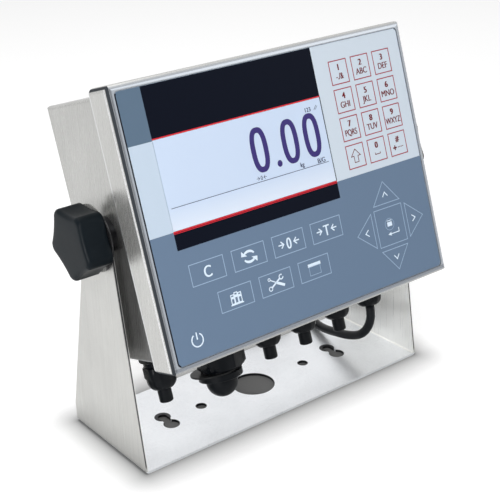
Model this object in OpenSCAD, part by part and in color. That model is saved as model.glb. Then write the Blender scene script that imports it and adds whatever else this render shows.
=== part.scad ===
// Weighing indicator: a stainless steel display and keypad housing,
// held between the arms of a tilting bench bracket by two clamp knobs.
// Origin: centre of the cable hole, on the underside of the base plate.
// X runs along the panel, +Y away from the person who reads it, +Z up.

/* [Bracket] */
// Space between each arm and the cover's side
arm_gap = 3.5; // [2:0.5:8]
// Depth of the base plate and of the foot of each arm
base_depth = 100; // [90:1:130]
// Thickness of the bracket sheet
sheet_t = 2; // [1.5:0.25:3]
// Inside radius of the two bends
bend_r = 1.5; // [1:0.25:3]
// Height at which the back edge of an arm starts to lean
arm_foot_h = 18; // [10:1:30]
// Radius of the rounded top of an arm
arm_top_r = 17; // [15:0.5:22]
// Diameter of the cable hole in the base plate
cable_hole_d = 35; // [20:1:40]
// Diameter of the two round screw holes
screw_hole_d = 8.5; // [4:0.5:10]
// Distance between the two round screw holes
screw_hole_pitch = 108; // [90:1:120]
// Distance between the two keyholes
keyhole_pitch = 175; // [160:1:200]
// Diameter of the wide end of a keyhole
keyhole_head_d = 12.5; // [10:0.5:15]
// Diameter of the narrow end of a keyhole
keyhole_slot_d = 7.5; // [5:0.5:9]
// Distance between the two ends of a keyhole
keyhole_run = 13; // [10:0.5:16]

/* [Pivot] */
// Height of the tilt axis above the table
pivot_z = 178; // [172:1:220]
// Place of the tilt axis in front of the cable hole
pivot_y = -7; // [-15:1:10]
// How far the panel leans back at rest
rest_tilt = 17.5; // [0:0.5:30]
// Depth of the tilt axis behind the front of the cover
pivot_depth = 53; // [45:1:60]
// Diameter of the spigot that carries an arm
spigot_d = 14; // [12:0.5:16]
// Outer diameter of a pivot boss
boss_d = 26; // [22:1:30]
// Diameter of the clamp stud
stud_d = 8; // [6:1:9]

/* [Front cover] */
// Depth of the cover's sides
cover_depth = 25; // [20:1:30]
// Thickness of the cover sheet
cover_t = 1.5; // [1:0.25:2]
// Outside radius of the cover's edges
cover_edge_r = 4.5; // [2.5:0.5:4.5]
// Width of the rim left round the keypad film
rim_w = 4.9; // [4:0.1:8]
// Radius of the corners of the keypad film
film_corner_r = 3.5; // [2:0.5:6]
// Thickness of the keypad film
film_t = 0.5; // [0.3:0.1:0.8]
// Thickness of the switch layer under the film
switch_t = 0.5; // [0.4:0.1:0.8]
// How far the film lies below the rim
film_drop = 0.5; // [0.2:0.1:1]

/* [Rear housing] */
// How far the rear housing stands in from each side of the cover
rear_inset_u = 4; // [3:0.5:10]
// How far it stands in from the cover's top and bottom
rear_inset_v = 6; // [4:0.5:10]
// Depth of the back wall behind the front of the cover
rear_depth = 101; // [90:1:115]
// Thickness of the rear housing sheet
rear_t = 1.5; // [1:0.25:2]
// Outside radius of the rear housing's edges
rear_edge_r = 3; // [2.5:0.5:5]
// Width of the flange that presses on the gasket
flange_w = 9; // [7:0.5:12]
// Thickness of the compressed gasket
gasket_t = 3; // [2:0.5:4]

/* [Display] */
// Width of the clear window
window_w = 150.3; // [120:0.1:155]
// Height of the clear window
window_h = 64.4; // [50:0.1:75]
// Margin of the keypad film left of the window
window_left = 20.6; // [15:0.1:30]
// Margin of the keypad film above the window
window_top = 37.55; // [30:0.05:50]

/* [Keys] */
// Width of a number key
number_w = 18; // [14:0.1:20]
// Height of a number key
number_h = 18.5; // [14:0.1:20]
// Distance between number keys along a row
number_pitch_u = 22.3; // [21:0.1:24]
// Distance between rows of number keys
number_pitch_v = 21.7; // [21:0.1:23]
// Space between the window and the number keys
number_gap = 14.4; // [10:0.1:20]
// Margin of the keypad film right of the number keys
number_right = 11.8; // [8:0.1:20]
// Margin of the keypad film above the number keys
number_top = 13.8; // [10:0.1:20]
// Space between function keys along a row
function_gap = 7.2; // [4:0.1:12]
// Height of a function key
function_h = 16; // [12:0.1:20]
// How far the row of function keys starts right of the window's left edge
function_start = 5.4; // [0:0.1:15]
// How far the row ends left of the window's right edge
function_finish = 4.5; // [0:0.1:15]
// Space between the two rows of function keys
function_gap_v = 8.9; // [5:0.1:15]
// Space between the window and the function keys
function_top = 25.2; // [20:0.1:35]
// Margin of the keypad film below the function keys
function_bottom = 25.65; // [20:0.05:35]
// Width of the enter key
enter_w = 29.5; // [24:0.1:31]
// Height of the enter key
enter_h = 29.9; // [24:0.1:31]
// How far the enter key stands left of the middle of the number keys
enter_offset = 1.55; // [0:0.05:3]
// Margin of the keypad film below the lowest arrow key
arrow_bottom = 8.9; // [5:0.1:15]
// Length of the long side of an arrow key
arrow_base = 29; // [24:0.5:30]
// Height of an arrow key
arrow_h = 18; // [12:0.5:19]
// Space between the enter key and an arrow key
arrow_gap = 3; // [2:0.5:5]
// Distance of the power key from the left side of the keypad film
power_left = 20.05; // [15:0.05:30]
// Distance of the power key from the bottom of the keypad film
power_bottom = 14.35; // [10:0.05:20]
// Radius of the power key
power_r = 8; // [6:0.5:9]
// How far a key travels when pressed
key_travel = 0.3; // [0.2:0.05:0.4]

/* [Knobs] */
// Radius over the five lobes of a knob
knob_r = 27.3; // [22:0.1:30]
// Radius of each lobe
lobe_r = 7.4; // [5:0.1:9]
// Length of the gripped body of a knob
knob_len = 20.5; // [15:0.5:25]
// Depth of the shallow hollow in each side of a knob
knob_hollow = 1; // [0.3:0.1:1.5]
// Angle of the first lobe, measured from straight back
lobe_angle = 52.5; // [0:0.5:72]
// Radius of the steel washer under a knob
washer_r = 25; // [18:0.5:27]
// Thickness of the steel washer
washer_t = 1; // [1:0.5:3]
// Radius of the friction washer against the arm
friction_r = 23; // [20:0.5:30]
// Thickness of the friction washer
friction_t = 1; // [1:0.5:3]

/* [Cable entries] */
// Depth of the row of cable entries behind the front of the cover
entry_depth = 63; // [55:1:75]
// Distance of the first cable entry from the left side of the rear housing
entry_left = 20.5; // [18:0.5:30]
// Distance of the power cord's entry from the right side of the rear housing
entry_right = 31.5; // [20:0.5:40]
// Size across the flats of a gland
gland_flats = 24; // [20:0.5:26]
// Diameter of a gland's thread
gland_thread_d = 20; // [16:0.5:20]
// Height of a gland's hex body
gland_body_h = 10; // [7:0.5:12]
// Height of a gland's dome nut
gland_nut_h = 18; // [14:0.5:20]
// Diameter of a blanking pin
pin_d = 10.6; // [7:0.1:12]
// How far a blanking pin stands out of its gland
pin_out = 11; // [6:0.5:14]
// Size across the flats of the large connector
connector_flats = 34; // [28:0.5:36]
// Height of the large connector's body
connector_h = 31; // [25:0.5:34]
// Radius of the dome of the dust cap
cap_dome_r = 12.5; // [9:0.1:13]

/* [Power cord] */
// Diameter of the cord
cord_d = 7.5; // [6:0.5:9]
// Space left between neighbouring turns of the coil
turn_gap = 0.7; // [0.6:0.1:2]
// Radius of the innermost turn of the coil
coil_inner_r = 33; // [30:1:40]
// Number of turns from the outside of the coil to its inside
turns_in = 3; // [2:1:4]

/* [Hidden] */

// Roundness of circles
$fn = 48;
// Roundness inside a hull
hull_fn = 32;
// Overrun that cuts share
over = 1;
// Gap round a key, and between the film and its pocket
film_gap = 0.25;
// Gap between pieces that turn or slide on each other
run_gap = 0.08;
// Gap between an arm and the boss behind it
side_gap = 0.2;
// Gap between pieces laid against each other without a fit
seat_gap = 0.3;

steel_grey = [0.78, 0.78, 0.76];
dark_plastic = [0.12, 0.13, 0.14];

// Places along the depth of the housing, as depths behind the front of the cover
pocket_depth = film_drop + film_t + switch_t;
floor_back = pocket_depth + cover_t;
flange_front = floor_back + gasket_t;

// The keypad film is as large as what stands on it, and the cover, the rear housing and
// the bracket follow from it
function_w = (window_w - function_start - function_finish - 3 * function_gap) / 4;
function_pitch = function_w + function_gap;
function_pitch_v = function_h + function_gap_v;
film_w = window_left + window_w + number_gap + 2 * number_pitch_u + number_w + number_right;
film_h = window_top + window_h + function_top + function_pitch_v + function_h
    + function_bottom;
pocket_w = film_w + 2 * film_gap;
pocket_h = film_h + 2 * film_gap;
cover_w = pocket_w + 2 * rim_w;
cover_h = pocket_h + 2 * rim_w;
rear_w = cover_w - 2 * rear_inset_u;
rear_h = cover_h - 2 * rear_inset_v;
bracket_w = cover_w + 2 * arm_gap + 2 * sheet_t;

// Places on the panel, from its centre
window_u = window_left + window_w / 2 - film_w / 2;
window_v = film_h / 2 - window_top - window_h / 2;
number_u = film_w / 2 - number_right - number_w / 2 - number_pitch_u;
number_v = film_h / 2 - number_top - number_h / 2;
function_u = window_u - window_w / 2 + function_start + function_w / 2;
function_v = window_v - window_h / 2 - function_top - function_h / 2;
arrow_u = enter_w / 2 + arrow_gap;
arrow_v = enter_h / 2 + arrow_gap;
enter_u = number_u - enter_offset;
enter_v = arrow_bottom + arrow_h + arrow_v - film_h / 2;
power_u = power_left - film_w / 2;
power_v = power_bottom - film_h / 2;

// Cable entries: places of the glands and of the large connector between them, as shares
// of the way from the first entry to the last
gland_shares = [0, 0.4786, 0.6524, 0.8262, 1];
connector_share = 0.2567;
entry_start = entry_left - rear_w / 2;
power_entry_u = rear_w / 2 - entry_right;
function entry_place(share) = entry_start + share * (power_entry_u - entry_start);
GLANDS = [for (share = gland_shares) entry_place(share)];
connector_u = entry_place(connector_share);
// The clear window rests on a ledge of the cover
window_ledge = 1.5;

arm_outer = bracket_w / 2;
arm_inner = arm_outer - sheet_t;
base_front = -base_depth / 2;
base_back = base_depth / 2;

// Moves a piece drawn on the flat panel into the leaning housing. There x and y run
// along and up the panel from its centre, and z = 0 is the front of the cover.
module in_housing()
    translate([0, pivot_y, pivot_z]) rotate([90 - rest_tilt, 0, 0])
        translate([0, 0, pivot_depth]) children();

// Row of entries on the underside of the housing: z runs down out of it
module at_entry(u)
    in_housing() translate([u, -rear_h / 2, -entry_depth]) rotate([90, 0, 0]) children();

// Puts a piece on the tilt axis, side 1 at the right arm and -1 mirrored at the left.
// There z runs outwards from the outer face of the arm, x runs down and y back.
module on_pivot(side) mirror([side < 0 ? 1 : 0, 0, 0])
    translate([arm_outer, pivot_y, pivot_z]) rotate([0, 90, 0]) children();

module rounded_rect(w, h, r) {
    square([w, h - 2 * r], center = true);
    square([w - 2 * r, h], center = true);
    for (x = [-1, 1], y = [-1, 1]) translate([x * (w / 2 - r), y * (h / 2 - r)]) circle(r);
}

module slab(w, h, r, front, back)
    translate([0, 0, -back]) linear_extrude(back - front) rounded_rect(w, h, r);

// A block whose front and side edges are rounded as folded sheet is
module folded_block(w, h, r, front, back)
    intersection() {
        slab(w, h, r, front, back);
        translate([0, h / 2 + over, 0]) rotate([90, 0, 0])
            linear_extrude(h + 2 * over) fold_profile(w, r, front, back);
        translate([-w / 2 - over, 0, 0]) rotate([90, 0, 90])
            linear_extrude(w + 2 * over) fold_profile(h, r, front, back);
    }

// Section through such a block: rounded corners at the front, square ones at the back
module fold_profile(w, r, front, back) {
    translate([-w / 2, -back]) square([w, back - front - r]);
    translate([-w / 2 + r, -front - 2 * r]) square([w - 2 * r, 2 * r]);
    for (x = [-1, 1]) translate([x * (w / 2 - r), -front - r]) circle(r);
}

module ring(outer_r, inner_r, length) difference() {
    cylinder(r = outer_r, h = length);
    translate([0, 0, -over]) cylinder(r = inner_r, h = length + 2 * over);
}

module hexagon(flats, length)
    cylinder(r = flats / 2 / cos(30), h = length, $fn = 6);

// Touching point of the line from point p to a circle of radius r round c
function touch_point(p, c, r, side) =
    let (a = atan2(p[1] - c[1], p[0] - c[0]), off = acos(r / norm(p - c)))
    c + r * [cos(a + side * off), sin(a + side * off)];

// Side outline of the bracket, drawn with y across and z up
module arm_outline() {
    top = [pivot_y, pivot_z];
    back_knee = [base_back, arm_foot_h];
    front_foot = [base_front, 0];
    polygon([
        front_foot, [base_back, 0], back_knee,
        touch_point(back_knee, top, arm_top_r, 1), top,
        touch_point(front_foot, top, arm_top_r, -1),
    ]);
    translate(top) circle(arm_top_r);
}

// Section of the bent sheet, drawn with x across and z up
module bent_section() {
    outer_r = bend_r + sheet_t;
    arm_h = pivot_z + arm_top_r + over;
    translate([-arm_outer + outer_r, 0]) square([bracket_w - 2 * outer_r, sheet_t]);
    for (side = [-1, 1]) {
        translate([side * (arm_outer - sheet_t / 2) - sheet_t / 2, outer_r])
            square([sheet_t, arm_h - outer_r]);
        translate([side * (arm_outer - outer_r), outer_r]) intersection() {
            difference() {
                circle(outer_r);
                circle(bend_r);
            }
            translate([side > 0 ? 0 : -outer_r, -outer_r]) square(outer_r);
        }
    }
}

module keyhole() {
    translate([0, -keyhole_run / 2, 0]) cylinder(d = keyhole_head_d, h = sheet_t + 2 * over);
    translate([0, keyhole_run / 2, 0]) cylinder(d = keyhole_slot_d, h = sheet_t + 2 * over);
    translate([-keyhole_slot_d / 2, -keyhole_run / 2, 0])
        cube([keyhole_slot_d, keyhole_run, sheet_t + 2 * over]);
}

module bracket() color(steel_grey) difference() {
    intersection() {
        translate([0, base_back + over, 0]) rotate([90, 0, 0])
            linear_extrude(base_depth + 2 * over) bent_section();
        translate([-arm_outer - over, 0, 0]) rotate([90, 0, 90])
            linear_extrude(bracket_w + 2 * over) arm_outline();
    }
    translate([0, 0, -over]) {
        cylinder(d = cable_hole_d, h = sheet_t + 2 * over);
        for (side = [-1, 1]) {
            translate([side * screw_hole_pitch / 2, 0, 0])
                cylinder(d = screw_hole_d, h = sheet_t + 2 * over);
            translate([side * keyhole_pitch / 2, 0, 0]) keyhole();
        }
    }
    for (side = [-1, 1]) on_pivot(side) translate([0, 0, -sheet_t - over])
        cylinder(d = spigot_d + 2 * run_gap, h = sheet_t + 2 * over);
}

// Keys: name, outline, place along and up the panel
function number_key(name, col, row) = [name, "number",
    number_u + (col - 1) * number_pitch_u, number_v - row * number_pitch_v];
function function_key(name, col, row) = [name, "function",
    function_u + (col + row / 2) * function_pitch, function_v - row * function_pitch_v];
KEYS = [
    number_key("key_1", 0, 0), number_key("key_2", 1, 0), number_key("key_3", 2, 0),
    number_key("key_4", 0, 1), number_key("key_5", 1, 1), number_key("key_6", 2, 1),
    number_key("key_7", 0, 2), number_key("key_8", 1, 2), number_key("key_9", 2, 2),
    number_key("key_shift", 0, 3), number_key("key_0", 1, 3), number_key("key_symbol", 2, 3),
    function_key("key_clear", 0, 0), function_key("key_units", 1, 0),
    function_key("key_zero", 2, 0), function_key("key_tare", 3, 0),
    function_key("key_library", 0, 1), function_key("key_tools", 1, 1),
    function_key("key_screen", 2, 1),
    ["key_enter", "enter", enter_u, enter_v],
    ["key_up", "arrow", enter_u, enter_v + arrow_v, 90],
    ["key_down", "arrow", enter_u, enter_v - arrow_v, -90],
    ["key_left", "arrow", enter_u - arrow_u, enter_v, 180],
    ["key_right", "arrow", enter_u + arrow_u, enter_v, 0],
    ["key_power", "power", power_u, power_v],
];

// Outline of one key, grown by a margin on every side
module key_outline(key, margin) translate([key[2], key[3]]) {
    if (key[1] == "number")
        square([number_w + 2 * margin, number_h + 2 * margin], center = true);
    if (key[1] == "function")
        square([function_w + 2 * margin, function_h + 2 * margin], center = true);
    if (key[1] == "enter")
        square([enter_w + 2 * margin, enter_h + 2 * margin], center = true);
    if (key[1] == "power") circle(power_r + margin);
    if (key[1] == "arrow") rotate(key[4]) arrow_outline(margin);
}

// Triangle that points along +x from its long side at x = 0. Moving each side out by
// the margin moves the point and the two corners along their bisectors.
module arrow_outline(margin) {
    half = arrow_base / 2;
    slant = atan2(half, arrow_h);
    point = arrow_h + margin / sin(slant);
    corner = half + margin / tan((90 - slant) / 2);
    polygon([[-margin, -corner], [point, 0], [-margin, corner]]);
}

module key(key) color([0.6, 0.68, 0.76]) in_housing()
    translate([0, 0, -film_drop - film_t]) linear_extrude(film_t) key_outline(key, 0);

module keypad_film() color([0.43, 0.52, 0.61]) in_housing() difference() {
    slab(film_w, film_h, film_corner_r, film_drop, film_drop + film_t);
    translate([0, 0, -film_drop - film_t - over]) linear_extrude(film_t + 2 * over) {
        for (k = KEYS) key_outline(k, film_gap);
        translate([window_u, window_v]) square([window_w, window_h], center = true);
    }
}

// The switch layer has an opening behind each key, in which the key sinks
module switch_layer() color([0.75, 0.72, 0.55]) in_housing() difference() {
    slab(film_w, film_h, film_corner_r, film_drop + film_t, pocket_depth);
    translate([0, 0, -pocket_depth - over]) linear_extrude(switch_t + 2 * over) {
        for (k = KEYS) key_outline(k, film_gap);
        translate([window_u, window_v]) square([window_w, window_h], center = true);
    }
}

module display_window() color([0.8, 0.88, 0.95, 0.5]) in_housing()
    translate([window_u, window_v, -pocket_depth]) linear_extrude(film_t + switch_t)
        square([window_w - 2 * film_gap, window_h - 2 * film_gap], center = true);

// Posts inside the cover take the long screws from the back
post_r = 5;
post_end = 30;
post_inset_u = 22.95;
post_inset_v = 25.5;
screw_d = 4;
post_bore_end = 10;
function post_places() = [for (x = [-1, 1], y = [-1, 1])
    [x * (cover_w / 2 - post_inset_u), y * (cover_h / 2 - post_inset_v)]];

module front_cover() color(steel_grey) in_housing() {
    inner_w = cover_w - 2 * cover_t;
    inner_h = cover_h - 2 * cover_t;
    inner_r = cover_edge_r - cover_t;
    tub_w = pocket_w + 2 * cover_t;
    tub_h = pocket_h + 2 * cover_t;
    difference() {
        union() {
            difference() {
                folded_block(cover_w, cover_h, cover_edge_r, 0, cover_depth);
                folded_block(inner_w, inner_h, inner_r, cover_t, cover_depth + over);
            }
            slab(tub_w, tub_h, film_corner_r + cover_t, cover_t / 2, floor_back);
            for (p = post_places()) translate([p[0], p[1], -post_end])
                cylinder(r = post_r, h = post_end - floor_back + cover_t / 2);
        }
        slab(pocket_w, pocket_h, film_corner_r, -over, pocket_depth);
        translate([window_u, window_v, -floor_back - over]) linear_extrude(cover_t + 2 * over)
            square([window_w - 2 * window_ledge, window_h - 2 * window_ledge], center = true);
        for (p = post_places()) translate([p[0], p[1], -post_end - over])
            cylinder(r = screw_d / 2 + run_gap, h = post_end - post_bore_end + over);
    }
}

gasket_w = 7;
gasket_inset = 0.5;
module cover_gasket() color([0.15, 0.15, 0.15]) in_housing() difference() {
    slab(rear_w - 2 * gasket_inset, rear_h - 2 * gasket_inset, rear_edge_r,
        floor_back, flange_front);
    slab(rear_w - 2 * gasket_inset - 2 * gasket_w, rear_h - 2 * gasket_inset - 2 * gasket_w,
        rear_edge_r, floor_back - over, flange_front + over);
}

module rear_housing() color(steel_grey) in_housing() {
    inner_w = rear_w - 2 * rear_t;
    inner_h = rear_h - 2 * rear_t;
    inner_r = rear_edge_r - rear_t;
    difference() {
        mirror([0, 0, 1]) folded_block(rear_w, rear_h, rear_edge_r, -rear_depth, -flange_front);
        mirror([0, 0, 1])
            folded_block(inner_w, inner_h, inner_r, rear_t - rear_depth, -flange_front - rear_t);
        slab(rear_w - 2 * flange_w, rear_h - 2 * flange_w, rear_edge_r,
            flange_front - over, flange_front + rear_t + over);
        for (p = post_places()) translate([p[0], p[1], -rear_depth - over])
            cylinder(r = screw_d / 2 + run_gap, h = rear_t + 2 * over);
        for (u = concat(GLANDS, [connector_u]))
            translate([u, -rear_h / 2 - over, -entry_depth]) rotate([-90, 0, 0])
                cylinder(d = entry_thread(u) + 2 * run_gap, h = rear_t + 2 * over);
        for (side = [-1, 1]) translate([side * rear_w / 2, 0, -pivot_depth]) rotate([0, 90, 0])
            cylinder(d = sleeve_d + 2 * run_gap, h = 2 * rear_t + 2 * over, center = true);
    }
}

// A pan head, a sealing washer and a plain shank stand for each long cover screw
head_d = 8;
head_h = 2.8;
socket_flats = 3;
seal_t = 1;
seal_d = 9;
module cover_screws() color([0.7, 0.7, 0.7]) in_housing() for (p = post_places())
    translate([p[0], p[1], -rear_depth - seal_t]) {
        cylinder(d = screw_d, h = rear_depth + seal_t - post_bore_end - over);
        difference() {
            translate([0, 0, -head_h]) rotate_extrude() intersection() {
                square([head_d / 2, head_h]);
                translate([0, head_d]) circle(head_d);
            }
            translate([0, 0, -head_h - over]) hexagon(socket_flats, over + head_h / 2);
        }
    }

module screw_seals() color([0.2, 0.2, 0.2]) in_housing() for (p = post_places())
    translate([p[0], p[1], -rear_depth - seal_t]) ring(seal_d / 2, screw_d / 2 + run_gap, seal_t);

// Inside the housing
screen_margin = 6;
frame_t = 1;
frame_depth = 7;
screen_t = frame_depth - frame_t;
module screen_panel() color([0.75, 0.85, 0.95]) in_housing()
    translate([window_u, window_v, -floor_back - screen_t]) linear_extrude(screen_t)
        square([window_w + 2 * screen_margin, window_h + 2 * screen_margin], center = true);

module screen_frame() color([0.6, 0.62, 0.64]) in_housing()
    translate([window_u, window_v, -floor_back - frame_depth]) difference() {
        linear_extrude(frame_depth)
            square([window_w + 2 * (screen_margin + seat_gap + frame_t),
                window_h + 2 * (screen_margin + seat_gap + frame_t)], center = true);
        translate([0, 0, frame_t]) linear_extrude(frame_depth)
            square([window_w + 2 * (screen_margin + seat_gap),
                window_h + 2 * (screen_margin + seat_gap)], center = true);
    }

board_inset_u = 31;
board_inset_v = 18;
board_w = rear_w - 2 * board_inset_u;
board_h = rear_h - 2 * board_inset_v;
board_t = 1.6;
board_front = 24;
standoff_r = 3;
standoff_inset = 6;
chip_t = 2;
chip_size = 16;
function standoff_places() = [for (x = [-1, 1], y = [-1, 1])
    [x * (board_w / 2 - standoff_inset), y * (board_h / 2 - standoff_inset)]];

module board_standoffs() color([0.75, 0.7, 0.4]) in_housing() for (p = standoff_places())
    translate([p[0], p[1], -board_front]) cylinder(r = standoff_r, h = board_front - floor_back);

module main_board() color([0.1, 0.4, 0.25]) in_housing() {
    translate([-board_w / 2, -board_h / 2, -board_front - board_t])
        cube([board_w, board_h, board_t]);
    for (k = [-1, 0, 1]) translate([k * 3 * chip_size, chip_size, -board_front - board_t - chip_t])
        translate([-chip_size / 2, 0, 0]) cube([chip_size, chip_size, chip_t]);
}

terminal_w = 30;
terminal_h = 10;
terminal_t = 12;
terminal_count = 5;
module terminal_blocks() color([0.2, 0.55, 0.3]) in_housing() for (k = [0:terminal_count - 1])
    translate([(k - (terminal_count - 1) / 2) * (board_w - terminal_w) / (terminal_count - 1),
        -board_h / 2, -board_front - board_t - terminal_t])
        translate([-terminal_w / 2, 0, 0]) cube([terminal_w, terminal_h, terminal_t]);

supply_w = 120;
supply_h = 60;
supply_pillar = 6;
transformer_size = 34;
transformer_h = 24;
supply_v = 20;
module power_supply() color([0.85, 0.75, 0.3]) in_housing() translate([0, supply_v, 0]) {
    back = rear_depth - rear_t;
    for (x = [-1, 1], y = [-1, 1])
        translate([x * (supply_w / 2 - standoff_inset), y * (supply_h / 2 - standoff_inset), -back])
            cylinder(r = standoff_r, h = supply_pillar);
    translate([-supply_w / 2, -supply_h / 2, supply_pillar - back])
        cube([supply_w, supply_h, board_t]);
    translate([-transformer_size / 2, -transformer_size / 2, supply_pillar + board_t - back])
        cube([transformer_size, transformer_size, transformer_h]);
}

// Pivot bosses: a collar outside the wall, a spigot in the arm and a blind sleeve inside
sleeve_d = 16;
sleeve_len = 18;
bore_end_wall = 2;
spigot_len = sheet_t - side_gap;
module pivot_bosses() color([0.7, 0.7, 0.68]) for (side = [-1, 1]) on_pivot(side) {
    wall = -(arm_outer - rear_w / 2);
    difference() {
        union() {
            translate([0, 0, -sheet_t - side_gap]) cylinder(d = spigot_d, h = side_gap + spigot_len);
            translate([0, 0, wall]) cylinder(d = boss_d, h = -wall - sheet_t - side_gap);
            translate([0, 0, wall - sleeve_len]) cylinder(d = sleeve_d, h = sleeve_len + over);
        }
        translate([0, 0, wall - sleeve_len + bore_end_wall])
            cylinder(d = stud_d + 2 * run_gap, h = sleeve_len - wall + over);
    }
}

knob_base = side_gap + friction_t + washer_t;
stud_in = 20;
stud_grip = 14;
module stud(side) color([0.72, 0.72, 0.72]) on_pivot(side)
    translate([0, 0, -stud_in]) cylinder(d = stud_d, h = stud_in + knob_base + stud_grip);

module washer(side) color([0.75, 0.75, 0.75]) on_pivot(side)
    translate([0, 0, side_gap + friction_t]) ring(washer_r, stud_d / 2 + run_gap, washer_t);

module friction_washer(side) color(dark_plastic) on_pivot(side)
    translate([0, 0, side_gap]) ring(friction_r, stud_d / 2 + run_gap, friction_t);

// Five lobes and the straight sides between them, on the plane of the tilt axis
lobes = 5;
lobe_step = 360 / lobes;
function lobe_place(k) = 90 + lobe_angle + lobe_step * k;
module lobed_outline(inset) {
    centre_r = knob_r - lobe_r;
    r = lobe_r - inset;
    polygon([for (k = [0:lobes - 1], end = [-1, 1])
        let (a = lobe_place(k), b = a + end * lobe_step / 2)
        centre_r * [cos(a), sin(a)] + r * [cos(b), sin(b)]]);
    for (k = [0:lobes - 1]) rotate(lobe_place(k)) translate([centre_r, 0])
        circle(r, $fn = hull_fn);
}

// The knob's rounded edges: distance from its end and inset, as shares of the edge radius
knob_edge = 3.2;
knob_slice = 0.05;
foot_edge_shares = [[0, 0.3], [0.3, 0]];
face_edge_shares = [[1, 0], [0.5, 0.13], [0.13, 0.5], [0, 1]];
hollow_r = 70;
hollow_fn = 96;
module knob(side) color(dark_plastic) on_pivot(side) translate([0, 0, knob_base]) difference() {
    hull() {
        for (s = foot_edge_shares) translate([0, 0, s[0] * knob_edge])
            linear_extrude(knob_slice) lobed_outline(s[1] * knob_edge);
        for (s = face_edge_shares) translate([0, 0, knob_len - s[0] * knob_edge - knob_slice])
            linear_extrude(knob_slice) lobed_outline(s[1] * knob_edge);
    }
    flat = (knob_r - lobe_r) * cos(lobe_step / 2) + lobe_r;
    for (k = [0:lobes - 1]) rotate(lobe_place(k + 1 / 2))
        translate([flat + hollow_r - knob_hollow, 0, -over])
            cylinder(r = hollow_r, h = knob_len + 2 * over, $fn = hollow_fn);
    translate([0, 0, -over])
        cylinder(d = stud_d + 2 * run_gap, h = stud_grip + over + run_gap);
}

// Cable entries under the housing
connector_thread_d = 28;
function entry_thread(u) = u == connector_u ? connector_thread_d : gland_thread_d;
gland_end = gland_body_h + gland_nut_h;
// Corners of a gland's hexagons are turned to these diameters
gland_collar_d = 22;
nut_flats = 22.5;
// Share of a gland part's height that is hexagonal
hex_share = 0.6;
gland_bore_d = 13;
thread_in = 8;
nut_h = 5;
pin_edge = 1;
module gland_bodies() color(dark_plastic) for (u = GLANDS) at_entry(u) difference() {
    union() {
        hexagon(gland_flats, gland_body_h * hex_share);
        cylinder(d = gland_collar_d, h = gland_body_h);
        translate([0, 0, -thread_in]) cylinder(d = gland_thread_d, h = thread_in + over);
    }
    translate([0, 0, -thread_in - over])
        cylinder(d = gland_bore_d, h = thread_in + gland_body_h + 2 * over);
}

// Dome nut: profile from the hex body to the mouth, radii as shares of the outer radius
// and heights as shares of the nut's height
nut_shares = [
    [0.96, 0], [1, 0.06], [1, 0.55], [0.985, 0.7], [0.93, 0.83], [0.82, 0.94], [0.72, 1],
];
module gland_nuts() color(dark_plastic) for (u = GLANDS) at_entry(u)
    translate([0, 0, gland_body_h]) difference() {
        union() {
            rotate_extrude() polygon(concat([[0, 0]],
                [for (s = nut_shares) [s[0] * nut_flats / 2, s[1] * gland_nut_h]],
                [[0, gland_nut_h]]));
            hexagon(nut_flats, gland_nut_h * hex_share);
        }
        translate([0, 0, -over]) cylinder(d = gland_bore_d, h = gland_nut_h + 2 * over);
    }

module gland_seals() color([0.08, 0.08, 0.08]) for (u = GLANDS) at_entry(u)
    if (u == power_entry_u)
        cylinder(d = gland_bore_d - 2 * run_gap, h = gland_end);
    else
        ring(gland_bore_d / 2 - run_gap, pin_d / 2 + run_gap, gland_end - film_t);

module blanking_pins() color([0.16, 0.16, 0.17]) for (u = GLANDS)
    if (u != power_entry_u) at_entry(u) {
        cylinder(d = pin_d, h = gland_end + pin_out - pin_edge);
        translate([0, 0, gland_end + pin_out - pin_edge])
            cylinder(d1 = pin_d, d2 = pin_d - pin_edge, h = pin_edge);
    }

nut_wall = 3;
module gland_locknuts() color(dark_plastic) for (u = concat(GLANDS, [connector_u]))
    at_entry(u) translate([0, 0, -rear_t - nut_h]) difference() {
        hexagon(entry_thread(u) + 2 * nut_wall, nut_h);
        translate([0, 0, -over]) cylinder(d = entry_thread(u) + 2 * run_gap, h = nut_h + 2 * over);
    }

// Large connector: hex body, the steel plate of the dust cap's strap set off to one side,
// and the domed dust cap
ring_t = 1.2;
ring_r = 18.8;
ring_offset = [-6.8, -2];
cap_offset = -3;
connector_lip_h = 2;
connector_lip_d = 32;
cap_skirt_h = 5.2;
cap_skirt_r = 17.5;
cap_neck_h = 3;
module connector_body() color(dark_plastic) at_entry(connector_u) {
    translate([0, 0, -thread_in]) cylinder(d = connector_thread_d, h = thread_in + over);
    hexagon(connector_flats, connector_h - connector_lip_h / 2);
    translate([0, 0, connector_h - connector_lip_h])
        cylinder(d = connector_lip_d, h = connector_lip_h);
}

module connector_ring() color([0.7, 0.7, 0.7]) at_entry(connector_u)
    translate([ring_offset[0], ring_offset[1], connector_h]) cylinder(r = ring_r, h = ring_t);

module connector_cap() color(dark_plastic) at_entry(connector_u)
    translate([cap_offset, 0, connector_h + ring_t]) rotate_extrude() {
        square([cap_skirt_r, cap_skirt_h]);
        square([cap_dome_r, cap_skirt_h + cap_neck_h]);
        translate([0, cap_skirt_h + cap_neck_h]) intersection() {
            circle(cap_dome_r);
            square(cap_dome_r);
        }
    }

// Power cord. It leaves its gland, bends back under the housing, crosses the base plate
// and its back edge, and lies on the table behind the bracket until the coil.
cord_r = cord_d / 2;
cord_sides = 10;
coil_sides = 6;
rings_per_turn = 24;
function housing_point(u, v, depth) = [u,
    pivot_y + v * sin(rest_tilt) + (depth - pivot_depth) * cos(rest_tilt),
    pivot_z + v * cos(rest_tilt) - (depth - pivot_depth) * sin(rest_tilt)];
cord_start = housing_point(power_entry_u, -rear_h / 2 - gland_end, entry_depth);
cord_down = [0, -sin(rest_tilt), -cos(rest_tilt)];

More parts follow.
